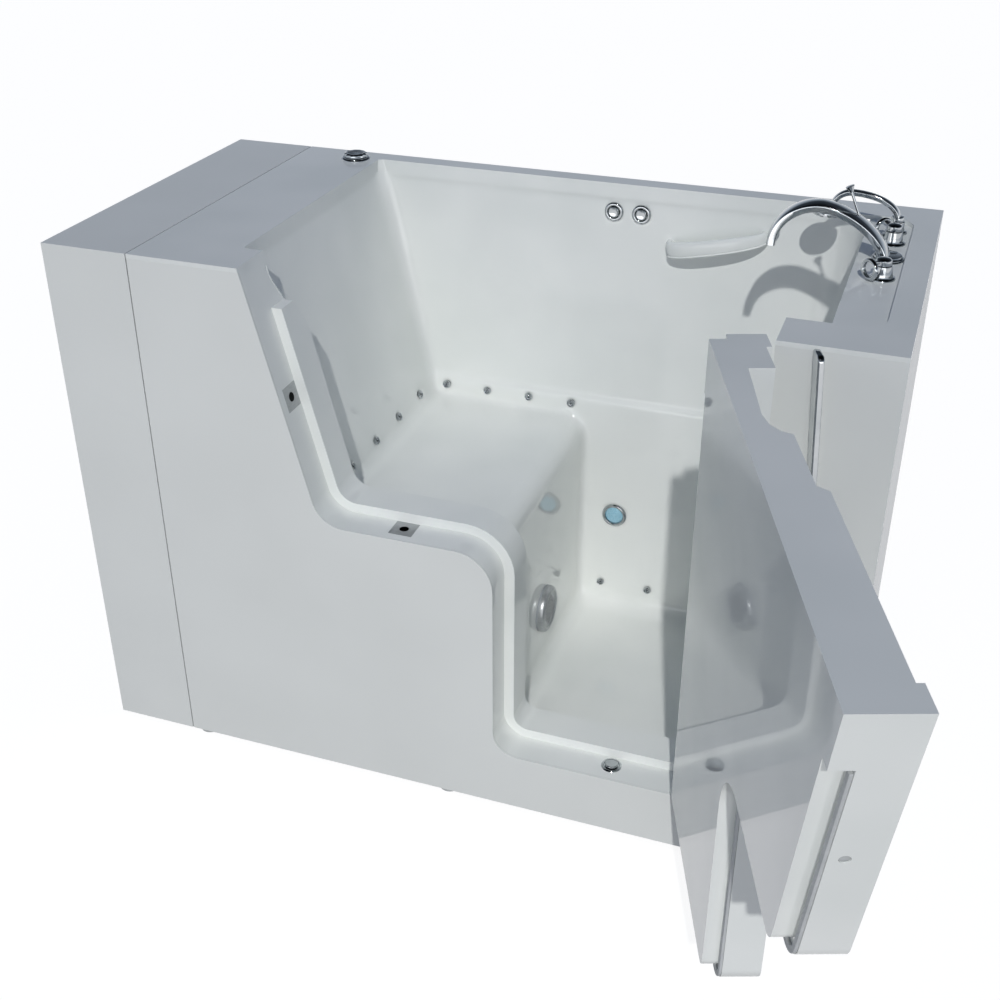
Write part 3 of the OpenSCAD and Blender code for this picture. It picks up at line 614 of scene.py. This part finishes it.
class MakeDoor(bpy.types.Operator):
    """Joins the door's leaf and plug into one moulding, with its seal, hinges, bolts and lever"""
    bl_idname = "bathtub.make_door"
    bl_label = "Door"

    def execute(self, context):
        door = cut(copy_of("door_outer", "door"), copy_of("door_inner", "door_plug"), "UNION")
        soften(door, context.scene.tub_sizes.edge / MM)
        dress(door, "door", "gelcoat_white", "door_outer", "door_inner")
        seal = copy_of("door_gasket", "door_seal")
        soften(seal, 1.2)
        dress(seal, "door", "seal_rubber", "door_gasket")
        for name, new, body in (("hinge_door_leaves", "door_knuckles", "door"),
                                ("hinge_jamb_leaves", "jamb_knuckles", "tub"),
                                ("hinge_pins", "knuckle_pins", "tub"),
                                ("upper_bolt", "top_bolt_bar", "top_bolt"),
                                ("lower_bolt", "bottom_bolt_bar", "bottom_bolt")):
            piece = copy_of(name, new)
            soften(piece, 0.5)
            dress(piece, body, "satin_steel", name)
        self.lever()
        return {"FINISHED"}

    def lever(self):
        """A paddle on a domed hub, with a dished plate under it."""
        rose = turned("lever_rose", [(6.3, 0.2), (29.4, 0), (30, 0.8), (29.2, 2.2), (26, 3), (22, 2.6),
                                     (18, 3), (6.3, 3)], 64)
        dress(swung(put(rose, facing(LEVER_X, 9, LEVER_Z, TO_FRONT))), "door", "satin_steel", "latch_plate")
        hub = turned("lever", [(6, -38), (6, -5.7), (16, -5.6), (16, 9), (15, 12), (12.4, 13.6),
                               (6, 14.4), (0.5, 14.6)], 48)
        put(hub, facing(LEVER_X, 0, LEVER_Z, TO_FRONT))
        down, out = Vector((0, 0, -1)), Vector((0, -1, 0))
        rings = []
        for fall, wide, thick, off in ((4, 9, 4.2, 7.5), (20, 8.2, 4, 8), (50, 8.6, 3.6, 9),
                                       (85, 10.6, 3.2, 10), (112, 13, 3, 10.8), (124, 12.2, 2.8, 11),
                                       (131, 8.6, 2.2, 11.2), (133.6, 3.4, 1.2, 11.3)):
            middle = at(LEVER_X, 0, LEVER_Z) + (down * fall + out * off) * MM
            rings.append(ring_at(oval(wide, thick, 2.6), middle, Vector((1, 0, 0)), out))
        paddle = lofted("paddle", rings)
        dress(swung(joined("lever", hub, paddle)), "latch", "chrome", "latch_lever")


class MakeJets(bpy.types.Operator):
    """Adds the twelve jets, the suction fitting and the light on the walls of the bathing space"""
    bl_idname = "bathtub.make_jets"
    bl_label = "Jets, suction and light"

    def execute(self, context):
        jet = turned("jets", [(7.3, -14), (7.3, -8.2), (6.1, -8), (6.1, -0.2), (9.2, -0.2), (9.3, 1.4),
                              (8.8, 3.2), (7.6, 4), (6.5, 3.4), (5.9, 1.2), (4.9, 0.9), (4.2, 2.2),
                              (3.2, 2.7), (2.5, 2.2), (2.2, -2), (0.4, -2)], 32)
        # Three rows of four, each with its first jet's place and the distance to the next one
        over_seat, over_floor, up_backrest = 30, 60, 32
        places = [facing(BACKREST + 27 + 99 * i, LOW, SEAT + over_seat, TO_FRONT) for i in range(4)]
        places += [facing(RISER + 54 + 114 * i, LOW, FLOOR + over_floor, TO_FRONT) for i in range(4)]
        places += [facing(BACKREST - up_backrest * TILT, 245 + 120 * i, SEAT + up_backrest, (0, 90 - LEAN, 0))
                   for i in range(4)]
        dress(copied(jet, places), "tub", "chrome", "jet_nozzles")
        self.suction()
        ring = turned("light_ring", [(22.2, -24), (22.2, -0.2), (28.4, -0.2), (28.6, 1.6), (27.6, 3.8),
                                     (25.4, 5.2), (23, 5.3), (21.4, 4.4), (20.7, 2.6), (20.7, -4)], 64)
        dress(put(ring, facing(*LIGHT, TO_FRONT)), "tub", "chrome", "light_housing")
        ribs = [(20.5, -20), (20.5, 1), (19.6, 2.2)]
        for k in range(7):
            ribs += [(17.4 - 2.4 * k, 3.2 + 0.16 * k), (16.4 - 2.4 * k, 2.7 + 0.16 * k)]
        lens = turned("light_glass", ribs + [(0.6, 4.2)], 64)
        dress(put(lens, facing(*LIGHT, TO_FRONT)), "tub", "lens_blue", "light_lens")
        return {"FINISHED"}

    def suction(self):
        """A deep cup with a slotted face and two screw holes, over its flanged body."""
        body = copy_of("suction_body", "suction_flange")
        soften(body, 0.8)
        dress(body, "tub", "grey_plastic", "suction_body")
        cover = turned("suction_grille", [(0.5, 7), (42, 7), (42, 0.2), (51.6, 0), (52, 3), (51.4, 8),
                                          (49.6, 11.6), (46.6, 13.6), (43.4, 14), (41.6, 13), (41, 11.4),
                                          (39.6, 10.6), (20, 11), (0.5, 11.2)], 72)
        for k in range(-3, 4):
            slot = upright("slot", 2.2, 30 - 2.2 * abs(k), 3, 18, 0)
            put(slot, Matrix.Rotation(math.radians(24), 4, "Z") @ Matrix.Translation((k * 0.0084, 0, 0)))
            cut(cover, slot)
        for side in (-1, 1):
            hole = turned("hole", [(2.6, 3), (2.6, 9.8), (4.4, 11.6), (4.4, 20)], 20)
            cut(cover, put(hole, Matrix.Translation((0.035 * side, 0, 0))))
        soften(cover, 0)
        dress(put(cover, facing(RISER + 4, SUCTION_Y, SUCTION_Z, TO_RIGHT)), "tub", "satin_steel",
              "suction_cover", slot="chrome")


class MakeControls(bpy.types.Operator):
    """Adds the two push buttons on the back wall and the air dial on the deck"""
    bl_idname = "bathtub.make_controls"
    bl_label = "Buttons and air dial"

    # The pump's and the light's button in millimetres from the left, and their drop under the deck
    ACROSS, DROP = (882, 940), 60

    def execute(self, context):
        places = [facing(x, BACK, DECK - self.DROP, TO_FRONT) for x in self.ACROSS]
        bezel = turned("button_rings", [(14.2, -20), (14.2, -13.2), (18.9, -13), (18.9, -8.1), (14.2, -8),
                                        (14.2, -0.2), (20, -0.2), (20.1, 1.2), (19.2, 3.2), (17.4, 4.4),
                                        (15, 4.7), (13.2, 3.6), (12.3, 1.6), (12.1, -6)], 48)
        cap = [(11.6, -12), (11.6, 3), (11, 4.4), (9.6, 5), (8.4, 4.6), (4, 4.1), (0.5, 4)]
        for name, node_name, body, place in (("pump_press", "pump_button", "pump_push", places[0]),
                                             ("light_press", "light_button", "light_push", places[1])):
            dress(put(turned(name, cap, 48), place), body, "chrome", node_name)
        dress(copied(bezel, places), "tub", "chrome", "button_bezels")
        plate = turned("dial_plate", [(15.5, -34), (15.5, -8.2), (15.4, -0.2), (31, -0.2), (31.2, 1.2),
                                      (30, 3.2), (27.6, 4.2), (22, 4.2), (20, 3.4), (11.4, 3.4)], 64)
        dress(put(plate, facing(*DIAL)), "tub", "chrome", "air_control_base")
        rings = []
        # Radius, height and depth of the twelve flutes at each level of the dial
        for size, z, flute in ((11, -18, 0), (11, 3.6, 0), (20, 4.6, 0), (24.6, 4.8, 1.6), (25.8, 6.4, 2.4),
                               (25.4, 10.6, 2.4), (23.4, 13, 1.8), (20, 14, 0.6), (14, 13.2, 0), (8, 13, 0),
                               (1, 13, 0)):
            ring = []
            for k in range(96):
                a = 2 * math.pi * k / 96
                radius = size - flute * abs(math.sin(6 * a))
                ring.append(Vector((radius * math.cos(a), radius * math.sin(a), z)) * MM)
            rings.append(ring)
        dial = lofted("air_dial", rings)
        grip = upright("grip", 19, 2.6, 11, 16, 1.4)
        dress(put(joined("air_dial", dial, grip), facing(*DIAL)), "air_dial", "chrome",
              "air_control_knob")
        return {"FINISHED"}


class MakeTaps(bpy.types.Operator):
    """Adds the arched spout with its lift rod, the two taps and the hand shower on the shelf"""
    bl_idname = "bathtub.make_taps"
    bl_label = "Spout, taps and hand shower"

    # Crowned section of a band, from -1 to 1 in width and from 0 to 1 in thickness
    BAND = ((-1, 0.14), (-1, 0.6), (-0.985, 0.74), (-0.92, 0.84), (-0.5, 0.96), (0, 1), (0.5, 0.96),
            (0.92, 0.84), (0.985, 0.74), (1, 0.6), (1, 0.14), (0.985, 0.05), (0.93, 0), (0.5, 0.04),
            (0, 0.05), (-0.5, 0.04), (-0.93, 0), (-0.985, 0.05))

    def execute(self, context):
        self.spout()
        self.taps()
        self.hand_shower()
        return {"FINISHED"}

    def band(self, name, top, under, halves, y):
        """A crowned band between an upper and a lower line of x and z, with half its width at each step."""
        rings = []
        for (x1, z1), (x0, z0), half in zip(top, under, halves):
            low, high = at(x0, y, z0), at(x1, y, z1)
            rings.append([low.lerp(high, b) + Vector((0, half * a, 0)) * MM for a, b in self.BAND])
        return lofted(name, rings)

    def spout(self):
        """Steep at its free end, with a wider lip, on a ringed foot."""
        crest = TAPS - 124
        top, under, halves = [], [], []
        # The crest is the 22nd of 44 steps, and the lip widens from the 30th on
        for k in range(45):
            a = math.radians(90 * k / 22)
            c, s = abs(math.cos(a)), abs(math.sin(a))
            if k <= 22:
                top.append((crest + 128 * c ** 1.25, SHELF + 3 + 91 * s ** 1.25))
                under.append((crest + 109 * c ** 1.25, SHELF + 3 + 75 * s ** 1.25))
            else:
                top.append((crest - 90 * c, SHELF + 11 + 83 * s))
                under.append((crest - 72 * c, SHELF + 11 + 67 * s))
            waist = 3.4 * math.sin(math.pi * min(k, 30) / 30)
            halves.append(24.4 - waist + 2.6 * max(0, (k - 30) / 14) ** 1.5)
        spout = self.band("spout_arch", top, under, halves, SPOUT_Y)
        slot = block("mouth", (crest - 86, SPOUT_Y - 19, SHELF), (crest - 80, SPOUT_Y + 19, SHELF + 24), 0)
        cut(spout, slot)
        soften(spout, 0)
        dress(spout, "tub", "chrome", "spout")
        foot = turned("spout_foot", [(11.5, -20), (11.5, -8.2), (11.4, -0.2), (28, -0.2), (28.2, 1.4),
                                     (27.2, 2.6), (26.2, 2.8), (26.2, 3.4), (27, 3.8), (27.2, 5), (26, 6.2),
                                     (24.4, 6.4), (24, 7.2), (24.6, 8), (24.2, 9.2), (22, 9.8), (4, 9.8)], 64)
        dress(put(foot, facing(TAPS, SPOUT_Y, SHELF)), "tub", "chrome", "spout_collar")
        rod = turned("lift_rod", [(2.4, -32), (2.4, 33), (3.4, 33.6), (3.4, 35), (2.6, 35.6), (3, 36.4),
                                  (7.4, 45.4), (8, 46.6), (7.5, 47.4), (3, 47.9), (0.4, 48)], 32)
        dress(put(rod, facing(crest + 62, SPOUT_Y + 6, SHELF + 79, (0, -24, 0))), "diverter", "chrome",
              "diverter_rod")

    def taps(self):
        """A stepped base and a domed hub with a standing loop to turn it by."""
        base = turned("tap_feet", [(11.5, -20), (11.5, -8.2), (11.4, -0.2), (23, -0.2), (23.2, 1.4),
                                   (22.2, 3), (20, 3.8), (18.6, 4.2), (17.6, 6), (16.6, 12), (15.6, 20),
                                   (15, 23.4), (14, 24), (7.2, 24)], 48)
        hub = turned("hub", [(7, -6), (7, 24.3), (12.8, 24.5), (13.4, 25.6), (13.4, 32.6), (12.8, 34.2),
                             (11, 35.8), (8, 36.9), (3, 37.6), (0.4, 37.7)], 48)
        bpy.ops.object.select_all(action="DESELECT")
        bpy.ops.mesh.primitive_torus_add(major_radius=0.0156, minor_radius=0.0034, major_segments=48,
                                         minor_segments=14)
        loop = bpy.context.object
        bpy.ops.object.mode_set(mode="EDIT")
        bpy.ops.mesh.select_all(action="SELECT")
        bpy.ops.transform.resize(value=(1.0, 1.06, 1.25))
        bpy.ops.object.mode_set(mode="OBJECT")
        soften(loop, 0)
        put(loop, Matrix.Translation((0.029, 0, 0.021)) @ Matrix.Rotation(math.radians(90), 4, "Y"))
        sides = Vector((0, 1, 0)), Vector((0, 0, 1))
        arm = lofted("arm", [ring_at(oval(w, h, 3, 20), Vector((x, 0, z)) * MM, *sides)
                             for x, z, w, h in ((8, 30.4, 6, 3.4), (14, 31, 5, 3), (20, 32.4, 4.4, 2.6),
                                                (25, 34, 4.2, 2.4), (29, 36, 4, 2.2))])
        handle = joined("tap_loop", hub, loop, arm)
        for name, node_name, body, y, turn in (("hot_loop", "hot_handle", "hot_tap", HOT_Y, 225),
                                               ("cold_loop", "cold_handle", "cold_tap", COLD_Y, 135)):
            only(handle)
            bpy.ops.object.duplicate(linked=False)
            piece = bpy.context.object
            piece.name = name
            dress(put(piece, facing(TAPS, y, SHELF, (0, 0, turn))), body, "chrome", node_name)
        bpy.data.objects.remove(handle)
        dress(copied(base, [facing(TAPS, y, SHELF) for y in (HOT_Y, COLD_Y)]), "tub", "chrome", "tap_bases")

    def hand_shower(self):
        """A thin arched handle with a flat round head, standing in its cradle."""
        cradle = turned("shower_foot", [(11.5, -20), (11.5, -8.2), (11.4, -0.2), (20, -0.2), (20.2, 1.4),
                                        (19.2, 3.4), (17, 4.2), (15, 4.6), (14.2, 6), (13.8, 19),
                                        (13.4, 21.4), (12, 22.2), (9.4, 22.2), (9.3, 14)], 48)
        dress(put(cradle, facing(TAPS, SHOWER_Y, SHELF)), "tub", "chrome", "shower_cradle")
        # The handle's crest and the middle of its head
        bow, head = TAPS - 86, TAPS - 124
        top, under, halves = [], [], []
        for k in range(37):
            a = math.radians(5 * k)
            for line, grow, rise in ((top, 5, 46), (under, -5, 36)):
                run = (TAPS if k < 18 else 2 * bow - head) + grow - bow
                line.append((bow + run * math.cos(a), SHELF + 27 + rise * math.sin(a)))
            halves.append(11.5 - 3 * math.sin(math.pi * k / 36))
        arch = self.band("shower_arch", top, under, halves, SHOWER_Y)
        stem = turned("stem", [(9, -14), (9, 22), (11.8, 22.5), (12, 24), (12, 29), (11, 31), (6, 32)], 40)
        put(stem, facing(TAPS, SHOWER_Y, SHELF))
        rose = turned("rose", [(0.6, 25.4), (24, 25.2), (27, 24.6), (30, 24), (33, 25), (34, 27.6), (34, 31),
                               (32.6, 34), (28, 36.2), (18, 37.6), (8, 38.6), (0.6, 38.8)], 64)
        put(rose, facing(head, SHOWER_Y, SHELF))
        nub = turned("nub", [(1.5, 0.6), (1.4, -1.1), (0.5, -1.3)], 10)
        spray = []
        for radius, count in ((7, 6), (14, 12), (21, 18)):
            for k in range(count):
                a = 2 * math.pi * k / count
                spray.append(facing(head + radius * math.cos(a), SHOWER_Y + radius * math.sin(a), SHELF + 25))
        nubs = copied(nub, spray)
        dress(joined("hand_shower_set", arch, stem, rose, nubs), "shower", "chrome", "hand_shower")


class MakeHandles(bpy.types.Operator):
    """Adds the moulded handle on the back wall and the polished bar on the front post"""
    bl_idname = "bathtub.make_handles"
    bl_label = "Handle and bar"

    # The moulded handle in millimetres: its middle, half its length and its reach off the wall
    MIDDLE, HALF, OFF = (1100, BACK, DECK - 100), 97, 42
    # How steeply it climbs to the right, in degrees
    SLOPE = 13

    def execute(self, context):
        slope = math.radians(self.SLOPE)
        along = Vector((math.cos(slope), 0, math.sin(slope)))
        above = Vector((-math.sin(slope), 0, math.cos(slope)))
        middle = at(*self.MIDDLE)
        rings, lip = [], []
        for k in range(33):
            a = math.pi * k / 32
            c, s = math.cos(a), math.sin(a)
            run = -self.HALF * math.copysign(abs(c) ** 0.9, c)
            place = middle + (along * run + Vector((0, 4 - self.OFF * s ** 0.62, 0))) * MM
            step = (along * self.HALF * s + Vector((0, -self.OFF * 0.62 * c, 0))).normalized()
            side = above.cross(step).normalized()
            tall, thick = 17 - 5.5 * k / 32 + 2 * s, 9.5 - 2 * k / 32
            rings.append(ring_at(oval(tall, thick, 2.5), place, above, side))
            lower = place - (above * tall * 0.78 + side * thick * 0.8) * MM
            lip.append(ring_at(oval(1.7, 2.3, 2, 12), lower, above, side))
        grip = joined("moulded_handle", lofted("grip", rings), lofted("lip", lip))
        dress(grip, "tub", "gelcoat_white", "grab_handle")
        bar = copy_of("grab_bar", "post_bar")
        soften(bar, 3.2, 20, 4)
        dress(bar, "tub", "chrome", "grab_bar")
        return {"FINISHED"}


class MakeDrains(bpy.types.Operator):
    """Adds the floor drain with its pipe, the threshold drain, and the striker plates with their cups"""
    bl_idname = "bathtub.make_drains"
    bl_label = "Drains and strikers"

    def execute(self, context):
        for name, new, width, finish_name in (("floor_drain", "drain_flange", 0.8, "chrome"),
                                              ("drain_strainer", "strainer", 0.5, "chrome"),
                                              ("waste_pipe", "waste", 1.0, "pipe_plastic"),
                                              ("striker_plates", "strikers", 0.5, "satin_steel")):
            piece = copy_of(name, new)
            soften(piece, width)
            dress(piece, "tub", finish_name, name)
        seat = turned("threshold_flange", [(9.8, -30), (9.8, -14), (15, -14), (15, -8.2), (9.8, -8),
                                           (9.8, -0.2), (20, -0.2), (20.2, 0.8), (19, 2.4), (17, 3),
                                           (15.4, 2.4), (14.6, 1.4), (7.1, 1.4)], 48)
        dress(put(seat, facing(*THRESHOLD)), "tub", "chrome", "threshold_drain")
        cap = turned("threshold_button", [(6.9, -8), (6.9, 2.2), (12, 2.7), (13, 3.4), (13.1, 5.4),
                                          (12.4, 6.5), (11.2, 6.9), (10.4, 6.5), (0.5, 6.3)], 48)
        dress(put(cap, facing(*THRESHOLD)), "tub", "chrome", "threshold_cap")
        # The cups' near-black finish is painted shade, standing for the dark inside the bolt holes
        cup = turned("strike_cups", [(8.8, -0.4), (8.9, -34), (0.6, -34.4), (0.6, -33.6), (8.2, -33),
                                     (8.2, -0.4)], 32)
        # The upper cup sits in the opening's edge, which leans from its foot at the step to the left;
        # the lower one sits in the step
        foot, rise, run, deep = 521, 826.5, 674.8, 43
        edge = foot + (STEP - rise) * TILT
        cups = copied(cup, [facing(edge, deep, rise, (0, 90 - LEAN, 0)), facing(run, deep, STEP)])
        dress(cups, "tub", "bolt_hole_shade_black", slot="pump_plastic")
        return {"FINISHED"}


class MakeUnderside(bpy.types.Operator):
    """Rounds the welded frame and the pipes, and adds the ribbed pump motor under the seat"""
    bl_idname = "bathtub.make_underside"
    bl_label = "Frame, pump and pipes"

    def execute(self, context):
        for name, new, width, finish_name in (
                ("support_frame", "welded_frame", 2.0, "frame_steel"),
                ("levelling_feet", "screw_feet", 0.8, "satin_steel"),
                ("equipment_tray", "pump_tray", 0.8, "tray_steel"),
                ("pump_volute", "pump_case", 2.0, "pump_plastic"),
                ("control_box", "control_case", 4.0, "pump_plastic"),
                ("suction_pipe", "suction_hose", 0.8, "pipe_plastic"),
                ("jet_pipework", "jet_pipes", 0, "pipe_plastic"),
                ("mixer_body", "mixer_valves", 1.0, "valve_brass")):
            piece = copy_of(name, new)
            soften(piece, width)
            dress(piece, "tub", finish_name, name)
        self.motor()
        return {"FINISHED"}

    def motor(self):
        """A finned case with a smooth fan cover, a foot and a terminal box."""
        rings = []
        for z, size, fin in ((0, 40, 0), (1, 50, 0), (6, 55, 0), (30, 57, 0), (31, 53, 0), (34, 53, 0),
                             (36, 58, 3.5), (150, 58, 3.5), (152, 53, 0), (158, 53, 0), (160, 57, 0),
                             (183, 57, 0), (185, 50, 0)):
            ring = []
            for k in range(112):
                a = 2 * math.pi * k / 112
                radius = size - (fin if k % 4 > 1 else 0)
                ring.append(Vector((math.cos(a), math.sin(a), 0)) * radius * MM + Vector((0, 0, z * MM)))
            rings.append(ring)
        case = put(lofted("motor", rings), facing(522, SUCTION_Y, SUCTION_Z, TO_RIGHT))
        foot = block("foot", (542, 355, 60.2), (687, 445, 175), 4)
        box = block("terminals", (582, 370, 265), (652, 430, 297), 5)
        dress(joined("pump_motor_case", case, foot, box), "tub", "motor_paint", "pump_motor")


MAKERS = (MakeStage, DressNodes, MakeShell, MakeDoor, MakeJets, MakeControls, MakeTaps, MakeHandles,
          MakeDrains, MakeUnderside)


class BathtubPanel(bpy.types.Panel):
    """Lists the makers of the bathtub's pieces"""
    bl_idname = "VIEW3D_PT_bathtub"
    bl_label = "Walk-in bathtub"
    bl_space_type = "VIEW_3D"
    bl_region_type = "UI"
    bl_category = "Bathtub"

    def draw(self, context):
        for group in (context.scene.tub_sizes, context.scene.tub_colours):
            for key in group.__annotations__:
                self.layout.prop(group, key)
        for maker in MAKERS:
            self.layout.operator(maker.bl_idname)


CLASSES = (TubColours, TubSizes) + MAKERS + (BathtubPanel,)


def register():
    for cls in CLASSES:
        bpy.utils.register_class(cls)
    bpy.types.Scene.tub_colours = bpy.props.PointerProperty(type=TubColours)
    bpy.types.Scene.tub_sizes = bpy.props.PointerProperty(type=TubSizes)


def unregister():
    del bpy.types.Scene.tub_sizes
    del bpy.types.Scene.tub_colours
    for cls in reversed(CLASSES):
        bpy.utils.unregister_class(cls)


def main():
    """Makes every piece in order."""
    register()
    for maker in MAKERS:
        group, name = maker.bl_idname.split(".")
        getattr(getattr(bpy.ops, group), name)()


if __name__ == "__main__":
    main()
